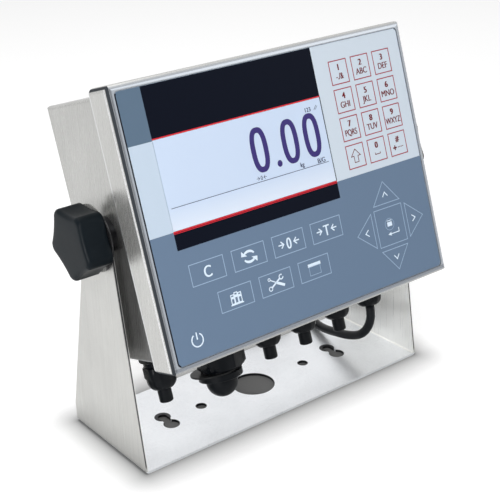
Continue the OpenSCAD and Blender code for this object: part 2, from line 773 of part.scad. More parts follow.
turn_pitch = cord_d + turn_gap;
coil_outer_r = coil_inner_r + turns_in * turn_pitch;
coil_turns = 2 * turns_in;
coil_centre = [75, 124];
coil_lead = cord_d;
tail_lead = 24;
tail_z = cord_r + turn_pitch;
coil_entry = [coil_centre[0] + coil_outer_r, coil_centre[1] - coil_lead, cord_r];
coil_exit = [coil_entry[0], coil_centre[1] + tail_lead, tail_z];

// Chosen points of the free stretch between the gland and the coil
CORD_ROUTE = [
    [99, -37, 46], [98, -35, 36], [97, -29, 27.5], [96.5, -20, 22], [96.5, -8, 18],
    [98, 5, 14.5], [100, 18, 11], [103, 32, 8], [107, 46, 6.5], [111, 58, 5],
    [116, 72, 3.8], [122, 86, 3.75], [129, 102, 3.75],
];

function unit(v) = v / norm(v);
function along(points, i, first, last) =
    i == 0 ? first : i == len(points) - 1 ? last : unit(points[i + 1] - points[i - 1]);

// A tube through points: a ring of corners stands square to the way at each point
function ring_corners(p, way, side_way, r, sides) =
    let (n1 = unit(cross(way, side_way)), n2 = cross(way, n1))
    [for (k = [0:sides - 1]) let (a = 360 * (k + 1 / 2) / sides + 90)
        p + r * (cos(a) * n1 + sin(a) * n2)];
function tube_faces(rings, sides) = concat(
    [for (k = [1:sides - 2]) [0, k, k + 1]],
    [for (i = [0:rings - 2], k = [0:sides - 1], half = [0, 1])
        let (a = i * sides + k, b = i * sides + (k + 1) % sides, c = b + sides, d = a + sides)
        half == 0 ? [a, d, c] : [a, c, b]],
    [for (k = [1:sides - 2]) let (e = (rings - 1) * sides) [e, e + k + 1, e + k]]);
module tube(points, first, last, side_way, r, sides)
    polyhedron(
        [for (i = [0:len(points) - 1])
            each ring_corners(points[i], along(points, i, first, last), side_way, r, sides)],
        tube_faces(len(points), sides));

straight_back = [0, 1, 0];
function free_points() = concat([cord_start], CORD_ROUTE, [coil_entry]);
module power_cord() color([0.1, 0.1, 0.11])
    tube(free_points(), cord_down, straight_back, [1, 0, 0], cord_r, cord_sides);

// The coil spirals in on the table, climbs a layer while it turns round, and spirals out
// on top. Near the turn the distance from it is rounded off, over a quarter turn each way.
turn_round = 1 / 4;
function from_turn(t) = let (x = abs(t - turns_in))
    x > turn_round ? x : (x * x / turn_round + turn_round) / 2;
function climb(t) =
    let (x = min(1, max(0, (t - turns_in + turn_round) / (2 * turn_round)))) x * x * (3 - 2 * x);
function coil_point(t) = let (r = coil_inner_r + turn_pitch * from_turn(t)) [
    coil_centre[0] + r * cos(360 * t),
    coil_centre[1] + r * sin(360 * t),
    cord_r + turn_pitch * climb(t)];
function coil_points() = concat([coil_entry],
    [for (i = [0:coil_turns * rings_per_turn]) coil_point(i / rings_per_turn)], [coil_exit]);
module cord_coil() color([0.1, 0.1, 0.11])
    tube(coil_points(), straight_back, straight_back, [0, 0, 1], cord_r, coil_sides);

function path_length(points) =
    [for (i = [1:len(points) - 1]) norm(points[i] - points[i - 1])]
    * [for (i = [1:len(points) - 1]) 1];
function least_gap(points) = min([for (i = [0:len(points) - 1])
    for (j = [i + rings_per_turn / 2:len(points) - 1]) norm(points[i] - points[j])]) - cord_d;
echo(least_gap_of_coil = least_gap(coil_points()));
echo(cord_length = path_length(free_points()) + path_length(coil_points()));

// Moulded plug, lying on the table beside the coil with its cord at the coil's top layer
relief_len = 32;
relief_d = [9.5, 14];
plug_w = 28;
plug_len = 34;
plug_round = 5;
plug_neck_w = 15;
plug_neck_len = 1;
// Share of the plug's length over which it widens
plug_taper_share = 0.4;
blade_gap = 12.7;
blade_size = [1.5, 6.4, 17];
earth_d = 4.8;
earth_len = 20;
earth_drop = 7;
blade_rise = 3.5;
module plug_section(w, h, y, thick) translate([0, y, 0]) rotate([-90, 0, 0])
    linear_extrude(thick) rounded_rect(w, h, plug_round);
module power_plug() translate(coil_exit) {
    color([0.1, 0.1, 0.11]) {
        rotate([-90, 0, 0]) rotate_extrude() polygon([[0, 0], [relief_d[0] / 2, 0],
            [relief_d[1] / 2, relief_len], [0, relief_len]]);
        hull() {
            plug_section(plug_neck_w, plug_neck_w, relief_len, plug_neck_len);
            plug_section(plug_w, 2 * tail_z, relief_len + plug_len * plug_taper_share,
                plug_len * (1 - plug_taper_share));
        }
    }
    color([0.75, 0.75, 0.75]) translate([0, relief_len + plug_len, 0]) {
        for (side = [-1, 1])
            translate([side * blade_gap / 2 - blade_size[0] / 2, -over,
                blade_rise - blade_size[1] / 2])
                cube([blade_size[0], blade_size[2] + over, blade_size[1]]);
        translate([0, -over, -earth_drop]) rotate([-90, 0, 0])
            cylinder(d = earth_d, h = earth_len + over);
    }
}

bracket();
front_cover();
keypad_film();
switch_layer();
display_window();
screen_panel();
screen_frame();
main_board();
board_standoffs();
terminal_blocks();
power_supply();
cover_gasket();
rear_housing();
cover_screws();
screw_seals();
pivot_bosses();
gland_bodies();
gland_nuts();
gland_seals();
blanking_pins();
gland_locknuts();
connector_body();
connector_ring();
connector_cap();
knob(-1);  // knob_left
knob(1);  // knob_right
stud(-1);  // stud_left
stud(1);  // stud_right
washer(-1);  // washer_left
washer(1);  // washer_right
friction_washer(-1);  // friction_left
friction_washer(1);  // friction_right
power_cord();
cord_coil();
power_plug();
for (k = KEYS) key(k);
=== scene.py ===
# Looks of the weighing indicator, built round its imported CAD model. Metres, the model's own frame.
import math

import bpy
from mathutils import Matrix, Vector


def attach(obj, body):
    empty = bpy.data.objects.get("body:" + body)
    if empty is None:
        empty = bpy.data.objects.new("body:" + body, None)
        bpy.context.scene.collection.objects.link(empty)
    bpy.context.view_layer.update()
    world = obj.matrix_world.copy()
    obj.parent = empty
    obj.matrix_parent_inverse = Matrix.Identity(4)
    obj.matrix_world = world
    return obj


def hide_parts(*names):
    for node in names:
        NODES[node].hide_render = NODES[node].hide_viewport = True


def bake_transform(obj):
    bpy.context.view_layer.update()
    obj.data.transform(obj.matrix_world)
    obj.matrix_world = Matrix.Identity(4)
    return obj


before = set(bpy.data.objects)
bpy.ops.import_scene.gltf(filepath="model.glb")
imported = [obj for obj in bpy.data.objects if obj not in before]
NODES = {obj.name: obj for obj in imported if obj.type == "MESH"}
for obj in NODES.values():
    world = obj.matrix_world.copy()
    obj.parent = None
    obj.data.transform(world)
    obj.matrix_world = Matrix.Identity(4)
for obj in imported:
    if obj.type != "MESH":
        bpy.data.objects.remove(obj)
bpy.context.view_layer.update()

MM = 0.001
PANEL_TILT = 17.5               # degrees that the panel leans back
SIN, COS = math.sin(math.radians(PANEL_TILT)), math.cos(math.radians(PANEL_TILT))
AXIS_Y, AXIS_Z = -7, 178        # the tilt axis, in mm
COVER_FRONT = 53                # front of the cover, out from the tilt axis, in mm
ARM_FACE = 140.5                # outer faces of the bracket's arms, in mm
ENTRY_V, ENTRY_W = -96, -63     # the row of cable entries, up the panel and out of it, in mm
FILM = -0.5                     # front of the keypad film, out from the front of the cover, in mm
PRINT = FILM + 0.03             # the print on it
SHARP = 32                      # edges over this angle stay sharp on round pieces, in degrees


# ---------------------------------------------------------------- camera
def make_camera():
    """The camera fitted to points of the photograph."""
    right = Vector((0.786933, -0.616319, -0.029798))
    up = Vector((0.269584, 0.299970, 0.915064))
    turn = Matrix((right, up, right.cross(up))).transposed().to_4x4()
    data = bpy.data.cameras.new("camera")
    data.sensor_width = 36
    data.lens = 84.29
    data.clip_start = 0.05
    data.clip_end = 50
    camera = bpy.data.objects.new("camera", data)
    camera.matrix_world = Matrix.Translation(Vector((-516.5, -678.9, 499.15)) * MM) @ turn
    bpy.context.scene.collection.objects.link(camera)
    bpy.context.scene.camera = camera


make_camera()

# ---------------------------------------------------------------- places
# Places on the panel (x along it, y up it, z out of it, in mm) to the model's frame
PANEL = Matrix(((1, 0, 0, 0), (0, SIN, -COS, (AXIS_Y - COVER_FRONT * COS) * MM),
                (0, COS, SIN, (AXIS_Z + COVER_FRONT * SIN) * MM), (0, 0, 0, 1))) @ Matrix.Scale(MM, 4)


def entry(u):
    """Places on a cable entry: z runs down out of the housing."""
    return PANEL @ Matrix.Translation((u, ENTRY_V, ENTRY_W)) @ Matrix.Rotation(math.radians(90), 4, "X")


def pivot(side):
    """Places on the tilt axis: z runs outwards from the arm, x down and y back."""
    axis = Matrix.Translation((0, AXIS_Y * MM, AXIS_Z * MM)) @ Matrix.Diagonal((side, 1, 1, 1))
    turn = Matrix.Rotation(math.radians(90), 4, "Y")
    return axis @ Matrix.Translation((ARM_FACE * MM, 0, 0)) @ turn @ Matrix.Scale(MM, 4)


# ---------------------------------------------------------------- outlines
def rect(u0, v0, u1, v1):
    return [(u0, v0), (u1, v0), (u1, v1), (u0, v1)]


def box(u, v, w, h, grow=0.0):
    """A rectangle about its centre."""
    return rect(u - w / 2 - grow, v - h / 2 - grow, u + w / 2 + grow, v + h / 2 + grow)


def oval(rx, ry, n, cx=0.0, cy=0.0):
    turns = [2 * math.pi * k / n for k in range(n)]
    return [(cx + rx * math.cos(a), cy + ry * math.sin(a)) for a in turns]


def arc_points(cx, cy, radius, start, end, steps):
    """Points of an arc between two angles in degrees, both ends included."""
    turns = [math.radians(start + (end - start) * i / steps) for i in range(steps + 1)]
    return [(cx + radius * math.cos(a), cy + radius * math.sin(a)) for a in turns]


def rounded(w, h, r, steps=8):
    """Corners of a rounded rectangle, counter-clockwise."""
    points = []
    for k, (sx, sy) in enumerate(((1, 1), (-1, 1), (-1, -1), (1, -1))):
        points += arc_points(sx * (w / 2 - r), sy * (h / 2 - r), r, 90 * k, 90 * k + 90, steps)
    return points


def turned(points, turn, u, v):
    """Points turned about the origin by an angle in degrees, then moved."""
    c, d = math.cos(math.radians(turn)), math.sin(math.radians(turn))
    return [(u + c * x - d * y, v + d * x + c * y) for x, y in points]


def at_height(points, z):
    return [(x, y, z) for x, y in points]


# ---------------------------------------------------------------- meshes
class Shape:
    """Gathers the faces of one piece. A face's part is the number of its material."""

    MITRE = 0.3                 # least cosine at a corner of a ribbon, so that sharp ones stay short
    CAPITALS = 0.729            # height of the built-in face's capitals at size 1
    LIFT = 0.004                # between copies of a bold letter, so that none shades another

    def __init__(self):
        self.verts, self.faces, self.parts = [], [], []
        self.z = PRINT          # height of what is drawn flat

    def add(self, verts, faces, part=0):
        start = len(self.verts)
        self.verts += [tuple(v) for v in verts]
        self.faces += [tuple(start + i for i in f) for f in faces]
        self.parts += [part] * len(faces)

    def loft(self, rings, part=0):
        """A solid through rings of points, closed at both ends."""
        n = len(rings[0])
        faces = [(i * n + k, i * n + (k + 1) % n, (i + 1) * n + (k + 1) % n, (i + 1) * n + k)
                 for i in range(len(rings) - 1) for k in range(n)]
        faces.append(tuple(range(n - 1, -1, -1)))
        faces.append(tuple((len(rings) - 1) * n + k for k in range(n)))
        self.add([v for r in rings for v in r], faces, part)

    def turn(self, profile, sides=64):
        """A solid turned about z from (radius, z) points."""
        self.loft([at_height(oval(r, r, sides), z) for r, z in profile])

    def flat(self, points, part=0):
        """One face inside an outline."""
        self.add(at_height(points, self.z), [tuple(range(len(points)))], part)

    def stroke(self, points, width, closed=False, part=0):
        """A flat ribbon along points, with mitred corners."""
        n = len(points)
        left, right = [], []
        for i, (x, y) in enumerate(points):
            ways = []
            if closed or i > 0:
                px, py = points[i - 1]
                ways.append(Vector((x - px, y - py)).normalized())
            if closed or i < n - 1:
                qx, qy = points[(i + 1) % n]
                ways.append(Vector((qx - x, qy - y)).normalized())
            way = sum(ways, Vector((0, 0))).normalized()
            side = Vector((-way.y, way.x))
            own = Vector((-ways[0].y, ways[0].x))
            reach = width / 2 / max(self.MITRE, side.dot(own))
            left.append((x + side.x * reach, y + side.y * reach, self.z))
            right.append((x - side.x * reach, y - side.y * reach, self.z))
        pairs = range(n) if closed else range(n - 1)
        self.add(left + right, [(n + i, n + (i + 1) % n, (i + 1) % n, i) for i in pairs], part)

    def arc(self, centre, radius, start, end, width, steps=28, part=0):
        self.stroke(arc_points(*centre, radius, start, end, steps), width, part=part)

    def text(self, words, centre, height, squeeze, bold, part=1):
        """Words in the plain built-in face, centred, with capitals of a given height."""
        curve = bpy.data.curves.new("words", "FONT")
        curve.body = words
        curve.align_x = "CENTER"
        curve.size = 1
        o = bpy.data.objects.new("words", curve)
        bpy.context.scene.collection.objects.link(o)
        bpy.context.view_layer.update()
        mesh = bpy.data.meshes.new_from_object(o)
        scale = height / self.CAPITALS
        for copy, shift in enumerate((-bold, 0, bold)):
            self.add([(centre[0] + v.co.x * scale * squeeze + shift,
                       centre[1] - height / 2 + v.co.y * scale, self.z + self.LIFT * copy)
                      for v in mesh.vertices], [tuple(p.vertices) for p in mesh.polygons], part)
        bpy.data.objects.remove(o)
        bpy.data.curves.remove(curve)
        bpy.data.meshes.remove(mesh)

    def piece(self, name, materials, body, place, slot, smooth=0):
        """The mesh object, in place and riding on its body.
        Smooth is the angle in degrees over which an edge stays sharp, nought for flat faces."""
        faces = [tuple(reversed(f)) for f in self.faces] if place.determinant() < 0 else self.faces
        mesh = bpy.data.meshes.new(name)
        mesh.from_pydata([place @ Vector(v) for v in self.verts], [], faces)
        mesh.validate()
        for m in materials:
            mesh.materials.append(m)
        if len(materials) > 1 and len(mesh.polygons) == len(self.parts):
            mesh.polygons.foreach_set("material_index", self.parts)
        if smooth:
            for p in mesh.polygons:
                p.use_smooth = True
        if 0 < smooth < 180:
            mesh.set_sharp_from_angle(angle=math.radians(smooth))
        o = bpy.data.objects.new(name, mesh)
        bpy.context.scene.collection.objects.link(o)
        if body:
            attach(o, body)
        return o


# ---------------------------------------------------------------- keypad
LEFT, RIGHT, TOP, BOTTOM = -129.85, 129.85, 96.85, -96.85     # the film
CORNER = 3.5
U0, U1, V0, V1 = -109.25, 41.05, -5.1, 59.3                   # the window
NUMBER_W, NUMBER_H, PITCH_U, PITCH_V = 18, 18.5, 22.3, 21.7
NUMBER_U, NUMBER_V = 86.75, 73.8
NUMBERS = {"key_1": "1 -./&", "key_2": "2 ABC", "key_3": "3 DEF", "key_4": "4 GHI", "key_5": "5 JKL",
           "key_6": "6 MNO", "key_7": "7 PQRS", "key_8": "8 TUV", "key_9": "9 WXYZ",
           "key_shift": "", "key_0": "0", "key_symbol": "#"}
NUMBER_PLACES = [(NUMBER_U + (k % 3 - 1) * PITCH_U, NUMBER_V - (k // 3) * PITCH_V) for k in range(12)]
FUNCTION_W, FUNCTION_H = 29.7, 16
FUNCTIONS = {"key_clear": (-89, -38.3), "key_units": (-52.1, -38.3), "key_zero": (-15.2, -38.3),
             "key_tare": (21.7, -38.3), "key_library": (-70.55, -63.2), "key_tools": (-33.65, -63.2),
             "key_screen": (3.25, -63.2)}
ENTER_U, ENTER_V, ENTER_W, ENTER_H = 85.2, -52, 29.5, 29.9
ARROWS = {"key_up": (90, ENTER_U, ENTER_V + 17.95), "key_down": (-90, ENTER_U, ENTER_V - 17.95),
          "key_left": (180, ENTER_U - 17.75, ENTER_V), "key_right": (0, ENTER_U + 17.75, ENTER_V)}
POWER_U, POWER_V = -109.8, -82.5

# ---------------------------------------------------------------- materials
FRONT_DEPTH = 0.1132                # the cover's front, along the panel's normal
PIVOT_LEVEL = (AXIS_Z * COS + AXIS_Y * SIN) * MM      # the tilt axis, up the panel
WHITE = (1, 1, 1, 1)
NEARLY_BLACK = (0.04, 0.04, 0.042, 1)


def srgb(r, g, b):
    """A colour as it is seen, in 255ths, to the renderer's linear one."""
    return tuple(((c / 255 + 0.055) / 1.055) ** 2.4 if c > 10 else c / 255 / 12.92 for c in (r, g, b)) + (1,)


def scaled(color, share, lift=0.0):
    return tuple(c * share + lift for c in color[:3]) + (1,)


class Nodes:
    """Short ways to add nodes to the tree of a material or of the world."""

    def __init__(self, owner):
        owner.use_nodes = True
        self.owner = owner
        self.tree = owner.node_tree

    def feed(self, socket, value):
        """Links a socket to an output, or sets it to a value."""
        if isinstance(value, bpy.types.NodeSocket):
            self.tree.links.new(value, socket)
        else:
            socket.default_value = value

    def node(self, kind, **sockets):
        n = self.tree.nodes.new(kind)
        for name, value in sockets.items():
            self.feed(n.inputs[name.replace("_", " ")], value)
        return n

    def math(self, operation, *values):
        n = self.tree.nodes.new("ShaderNodeMath")
        n.operation = operation
        for socket, value in zip(n.inputs, values):
            self.feed(socket, value)
        return n.outputs[0]

    def vector(self, operation, *values):
        n = self.tree.nodes.new("ShaderNodeVectorMath")
        n.operation = operation
        for socket, value in zip(n.inputs, values):
            self.feed(socket, value)
        return n.outputs["Value" if operation in ("DOT_PRODUCT", "LENGTH") else "Vector"]

    def mix(self, share, low, high, kind="RGBA"):
        """Low where the share is nought, high where it is one: two colours, or two numbers."""
        n = self.tree.nodes.new("ShaderNodeMix")
        n.data_type = kind
        first, result = (6, 2) if kind == "RGBA" else (2, 0)
        for i, value in ((0, share), (first, low), (first + 1, high)):
            self.feed(n.inputs[i], value)
        return n.outputs[result]

    def coordinates(self, scale=(1, 1, 1), rotation=(0, 0, 0)):
        """The object's own coordinates, scaled and turned."""
        where = self.node("ShaderNodeTexCoord").outputs["Object"]
        return self.node("ShaderNodeMapping", Vector=where, Scale=scale, Rotation=rotation).outputs["Vector"]

    def axis(self, letter):
        """One of the object's own coordinates."""
        return self.node("ShaderNodeSeparateXYZ", Vector=self.coordinates()).outputs[letter]

    def noise(self, vector, scale, detail=3.0, roughness=0.55):
        return self.node("ShaderNodeTexNoise", Vector=vector, Scale=scale, Detail=detail,
                         Roughness=roughness).outputs["Fac"]

    def ramp(self, reading, low, high, start=0.3, end=0.7):
        """From low to high while the reading goes from start to end."""
        return self.node("ShaderNodeMapRange", Value=reading, From_Min=start, From_Max=end,
                         To_Min=low, To_Max=high).outputs["Result"]

    def between(self, reading, rise, fall):
        """One between two edges, nought outside them."""
        return self.math("MULTIPLY", self.ramp(reading, 0.0, 1.0, *rise), self.ramp(reading, 1.0, 0.0, *fall))

    def colors(self, reading, low, high, start=0.3, end=0.7):
        """The same between two colours."""
        n = self.node("ShaderNodeValToRGB", Fac=reading)
        for element, position, color in zip(n.color_ramp.elements, (start, end), (low, high)):
            element.position = position
            element.color = color
        return n.outputs["Color"]

    def seen(self):
        """One for rays of the camera, of reflections and of glass, nought for light."""
        path = self.node("ShaderNodeLightPath").outputs
        either = self.math("MAXIMUM", path["Is Camera Ray"], path["Is Glossy Ray"])
        return self.math("MAXIMUM", either, path["Is Transmission Ray"])


class Surface(Nodes):
    """A material with its shader."""

    def __init__(self, name, color, roughness, metallic=0.0):
        super().__init__(bpy.data.materials.new(name))
        self.shader = self.tree.nodes["Principled BSDF"]
        self.shade(Base_Color=color, Roughness=roughness, Metallic=metallic)

    def shade(self, **sockets):
        for name, value in sockets.items():
            self.feed(self.shader.inputs[name.replace("_", " ")], value)

    def bump(self, height, strength, distance):
        n = self.node("ShaderNodeBump", Height=height, Strength=strength, Distance=distance)
        self.shade(Normal=n.outputs["Normal"])


def steel(name, color, tilt=0.0, rough=(0.26, 0.42), painted_light_and_finish=None):
    """Brushed stainless steel, its grain up the piece: fine lines, wider streaks and faint clouds.
    A further function adds what differs in places: polish, and painted light and shade."""
    m = Surface(name, color, roughness=0.34, metallic=0.72)
    turn = (math.radians(tilt), 0, 0)
    m.lines = m.noise(m.coordinates((2600, 2600, 14), turn), 1.0, detail=2.0, roughness=0.6)
    streaks = m.noise(m.coordinates((420, 420, 7), turn), 1.0)
    m.cloud = m.noise(m.coordinates(), 22.0, detail=4.0)
    m.mottle = m.math("MULTIPLY_ADD", streaks, 0.7, m.ramp(m.cloud, 0.0, 0.3, 0.35, 0.65))
    tone = m.colors(m.mottle, scaled(color, 0.92), scaled(color, 1.05), 0.25, 0.75)
    dull = m.ramp(m.lines, *rough)
    if painted_light_and_finish:
        tone, dull = painted_light_and_finish(m, tone, dull)
    m.shade(Base_Color=tone, Roughness=dull)
    m.bump(m.lines, 0.12, 0.00002)
    return m.owner


def cover_finish_and_painted_light(m, tone, dull):
    """The folded rim round the film is polished, the sides are brushed; the rim is painted darker, with
    painted highlights on two edges and a painted reflection of a dark room on the left edge's rounding.
    """
    depth = m.vector("DOT_PRODUCT", m.coordinates(), (0, -COS, SIN))
    height = m.vector("DOT_PRODUCT", m.coordinates(), (0, SIN, COS))
    front = m.ramp(depth, 0.0, 1.0, FRONT_DEPTH - 0.0017, FRONT_DEPTH - 0.0002)
    # the polished rim is painted darker than the steel, a painted reflection, and darker still below the
    # film, a painted shade
    above = m.ramp(height, 0.0, 1.0, PIVOT_LEVEL - 0.0972, PIVOT_LEVEL - 0.0966)
    rim = m.colors(above, (0.23, 0.25, 0.28, 1), (0.40, 0.43, 0.47, 1), 0.0, 1.0)
    tone = m.mix(front, tone, rim)
    dull = m.mix(front, dull, m.ramp(m.lines, 0.10, 0.2), "FLOAT")
    # painted highlights: bright lines where the side turns into the rim, and along the side's back edge, in
    # mm
    for edges in ((-4.8, -4.5, -3.5, -3.0), (-25.6, -25.3, -24.2, -23.9)):
        at = [FRONT_DEPTH + mm * MM for mm in edges]
        tone = m.mix(m.between(depth, at[:2], at[2:]), tone, (0.66, 0.67, 0.68, 1))
    # painted reflection: the rounding of the left edge is painted nearly black and made rough, as if it
    # mirrored a dark room
    band = m.between(m.axis("X"), (-0.1347, -0.1344), (-0.1329, -0.1323))
    return m.mix(band, tone, (0.03, 0.035, 0.042, 1)), m.mix(band, dull, 0.7, "FLOAT")


def housing_painted_shade(m, tone, dull):
    """The sides are painted darker below the pivot: painted shade of the bracket's arms."""
    side = m.ramp(m.math("ABSOLUTE", m.axis("X")), 0.0, 1.0, 0.1285, 0.1300)
    height = m.vector("DOT_PRODUCT", m.coordinates(), (0, SIN, COS))
    below = m.ramp(height, 0.72, 0.0, PIVOT_LEVEL - 0.012, PIVOT_LEVEL + 0.022)
    return m.mix(m.math("MULTIPLY", side, below), tone, NEARLY_BLACK), dull


def washer_painted_reflection(m, tone, dull):
    """The front is painted nearly black: a painted reflection of the dark boss beside it."""
    return m.mix(m.ramp(m.axis("Y"), 1.0, 0.0, -0.0235, -0.0195), tone, NEARLY_BLACK), dull


def bracket_painted_light_and_shade(m, tone, dull):
    """The base plate and the arms' inner faces are painted lighter, as painted light; the cut edges and the
    walls of the holes are painted dark, as painted shade.
    """
    across, height = m.math("ABSOLUTE", m.axis("X")), m.axis("Z")
    # painted light: the arms' inner faces are lighter than the rest
    inner = m.colors(m.cloud, (0.86, 0.86, 0.83, 1), (0.97, 0.97, 0.94, 1), 0.35, 0.65)
    tone = m.mix(m.ramp(across, 1.0, 0.0, 0.1386, 0.1390), tone, inner)
    # painted shade: the cut edges of the arms are dark
    painted_edge_shade = m.math("MULTIPLY", m.between(across, (0.1388, 0.1389), (0.1400, 0.1401)),
                     m.ramp(height, 0.0, 1.0, 0.004, 0.006))
    tone = m.mix(painted_edge_shade, tone, (0.08, 0.08, 0.085, 1))
    # painted light: the base plate is lighter than the rest
    plate = m.colors(m.mottle, (0.84, 0.86, 0.89, 1), (0.95, 0.97, 1.0, 1), 0.25, 0.75)
    tone = m.mix(m.ramp(height, 1.0, 0.0, 0.0020, 0.0021), tone, plate)
    # painted shade on the walls of the cable hole, a screw hole and the two ends of a keyhole, in mm
    place = m.vector("ABSOLUTE", m.coordinates())
    walls = 0.0
    for x, y, radius in ((0, 0, 17.5), (54, 0, 4.25), (87.5, 6.5, 6.25), (87.5, 6.5, 3.75)):
        away = m.vector("LENGTH", m.vector("MULTIPLY_ADD", place, (1, 1, 0), (-x * MM, -y * MM, 0)))
        wall = m.ramp(away, 1.0, 0.0, (radius + 0.25) * MM, (radius + 0.5) * MM)
        walls = m.math("MAXIMUM", walls, wall)
    return m.mix(walls, tone, (0.03, 0.03, 0.035, 1)), dull


def plastic(name, color, roughness=0.45, grain=0.25, size=1400, distance=0.00005, shine=0.14):
    """Moulded plastic or rubber with a fine spark-eroded grain and faint handling marks."""
    m = Surface(name, color, roughness)
    where = m.coordinates()
    marks = m.noise(where, 45, 4.0)
    m.shade(Roughness=m.ramp(marks, roughness - 0.05, roughness + 0.08),
            Base_Color=m.colors(marks, color, scaled(color, 1.25, 0.002)), Specular_IOR_Level=shine)
    m.bump(m.noise(where, size), grain, distance)
    return m.owner


def printed(name, color, roughness=0.4, shine=0.12):
    """Printed polyester film: even colour with a very fine satin texture."""
    m = Surface(name, color, roughness)
    where = m.coordinates()
    satin = m.noise(where, 2200, 2.0)
    m.shade(Roughness=m.ramp(m.noise(where, 30), roughness - 0.03, roughness + 0.04),
            Base_Color=m.colors(satin, scaled(color, 0.97), color), Specular_IOR_Level=shine)
    m.bump(satin, 0.06, 0.00002)
    return m.owner


def screen_face():
    """The lit screen under its hard clear cover: pale blue above, whiter below."""
    m = Surface("screen_face", srgb(198, 215, 237), 0.16)
    height = m.ramp(m.axis("Z"), 0.0, 1.0, 0.188, 0.205)
    m.shade(Base_Color=m.colors(height, srgb(217, 227, 241), srgb(197, 213, 236), 0.0, 1.0),
            Coat_Weight=0.25, Coat_Roughness=0.05)
    cells = m.node("ShaderNodeTexChecker", Vector=m.coordinates(), Scale=3200)
    m.bump(cells.outputs["Fac"], 0.02, 0.00001)
    return m.owner


STEEL = steel("brushed_steel", (0.52, 0.52, 0.503, 1), painted_light_and_finish=bracket_painted_light_and_shade)
STEEL_COVER = steel("brushed_cover", (0.47, 0.47, 0.458, 1), PANEL_TILT, (0.2, 0.34), housing_painted_shade)
STEEL_FRONT = steel("brushed_front", (0.51, 0.51, 0.497, 1), PANEL_TILT, (0.2, 0.34), cover_finish_and_painted_light)
PLATED = steel("plated_steel", (0.3, 0.3, 0.29, 1), rough=(0.18, 0.3))
WASHER = steel("washer_steel", (0.56, 0.56, 0.54, 1), rough=(0.2, 0.34), painted_light_and_finish=washer_painted_reflection)
# painted shade: the pivot bosses are steel painted nearly black, for the shaded gap beside the knobs
BOSS_SHADE = steel("blacked_steel", (0.03, 0.03, 0.033, 1), rough=(0.3, 0.45))
RING = plastic("ring_plastic", srgb(26, 27, 28), 0.4, 0.12, 1600, 0.00003, 0.12)
KNOB = plastic("knob_plastic", srgb(10, 17, 22), 0.36, 0.2, 1100, shine=0.08)
GLAND = plastic("gland_plastic", srgb(8, 11, 15), 0.3, 0.12, 1600, 0.00003, 0.1)
GLAND_SOFT = plastic("gland_seal", srgb(12, 14, 16), 0.6, 0.15)
CORD = plastic("cord_jacket", srgb(14, 17, 21), 0.4, 0.15, 1800, 0.00003)
PLUG = plastic("plug_rubber", srgb(24, 26, 29), 0.5, 0.3)
GREEN = plastic("board_green", srgb(26, 92, 58), 0.4, 0.1)
TERMINAL = plastic("terminal_green", srgb(36, 120, 70), 0.45, 0.2)
BLUE = printed("film_blue", srgb(104, 124, 148))
BLOCK = printed("film_block", srgb(92, 112, 132))
PALE = printed("film_pale", srgb(204, 215, 226))
STRIP = printed("film_strip", srgb(193, 208, 224))
BAND = printed("film_black", srgb(10, 15, 28), 0.34, shine=0.05)
RED = printed("film_red", srgb(216, 44, 56))
EDGE = printed("film_edge", srgb(22, 28, 38))
RIM_LINE = printed("film_rim_line", srgb(126, 138, 152))
KEY_RED = printed("print_red", srgb(158, 58, 70))
DIGIT_RED = printed("print_dark_red", srgb(106, 10, 23))
KEY_LINE = printed("print_outline", srgb(158, 180, 206))
ICON = printed("print_icon", srgb(222, 236, 250))
INK = printed("screen_ink", srgb(62, 52, 114))
INK_THIN = printed("screen_text", srgb(62, 68, 96))
LAYER = printed("switch_layer", srgb(96, 108, 122))
SCREEN = screen_face()


def paint(material, *names):
    for n in names:
        NODES[n].data.materials.clear()
        NODES[n].data.materials.append(material)


paint(STEEL, "bracket")
paint(STEEL_FRONT, "front_cover")
paint(STEEL_COVER, "rear_housing")
paint(PLATED, "screen_frame", "board_standoffs", "cover_screws", "stud_left", "stud_right")
paint(BOSS_SHADE, "pivot_bosses")
paint(WASHER, "washer_left", "washer_right")
paint(BLUE, "keypad_film", "key_enter", "key_power", *FUNCTIONS, *ARROWS)
paint(PALE, *NUMBERS)
paint(RING, "connector_ring")
paint(SCREEN, "display_window", "screen_panel")
paint(LAYER, "switch_layer")
paint(GREEN, "main_board", "power_supply")
paint(TERMINAL, "terminal_blocks")
paint(GLAND_SOFT, "cover_gasket", "screw_seals", "gland_seals", "friction_left", "friction_right")
paint(GLAND, "gland_bodies", "gland_nuts", "blanking_pins", "gland_locknuts", "connector_body",
      "connector_cap")

# ---------------------------------------------------------------- cord
ROUTE = [(99.5, -34.75, 56.73), (99, -37, 46), (98, -35, 36), (97, -29, 27.5), (96.5, -20, 22),
         (96.5, -8, 18), (98, 5, 14.5), (100, 18, 11), (103, 32, 8), (107, 46, 6.5), (111, 58, 5),
         (116, 72, 3.8), (122, 86, 3.75), (129, 102, 3.75), (132.6, 116.5, 3.75)]
CORD_D = 7.5
COIL_X, COIL_Y, COIL_INNER, COIL_PITCH = 75, 124, 33, 8.2
COIL_END = Vector((132.6, 136, 11.95))
COIL_EXIT = Vector((132.6, 148, 11.95))       # where the plug begins


def curved(points, parts):
    """The points and even steps between them on a smooth curve through them."""
    out = []
    pts = [Vector(p) for p in points]
    for i in range(len(pts) - 1):
        p1, p2 = pts[i], pts[i + 1]
        p0 = pts[i - 1] if i else p1 * 2 - p2
        p3 = pts[i + 2] if i + 2 < len(pts) else p2 * 2 - p1
        for k in range(parts):
            t = k / parts
            out.append(0.5 * ((2 * p1) + (p2 - p0) * t + (2 * p0 - 5 * p1 + 4 * p2 - p3) * t * t
                              + (3 * p1 - p0 - 3 * p2 + p3) * t ** 3))
    return out + [pts[-1]]


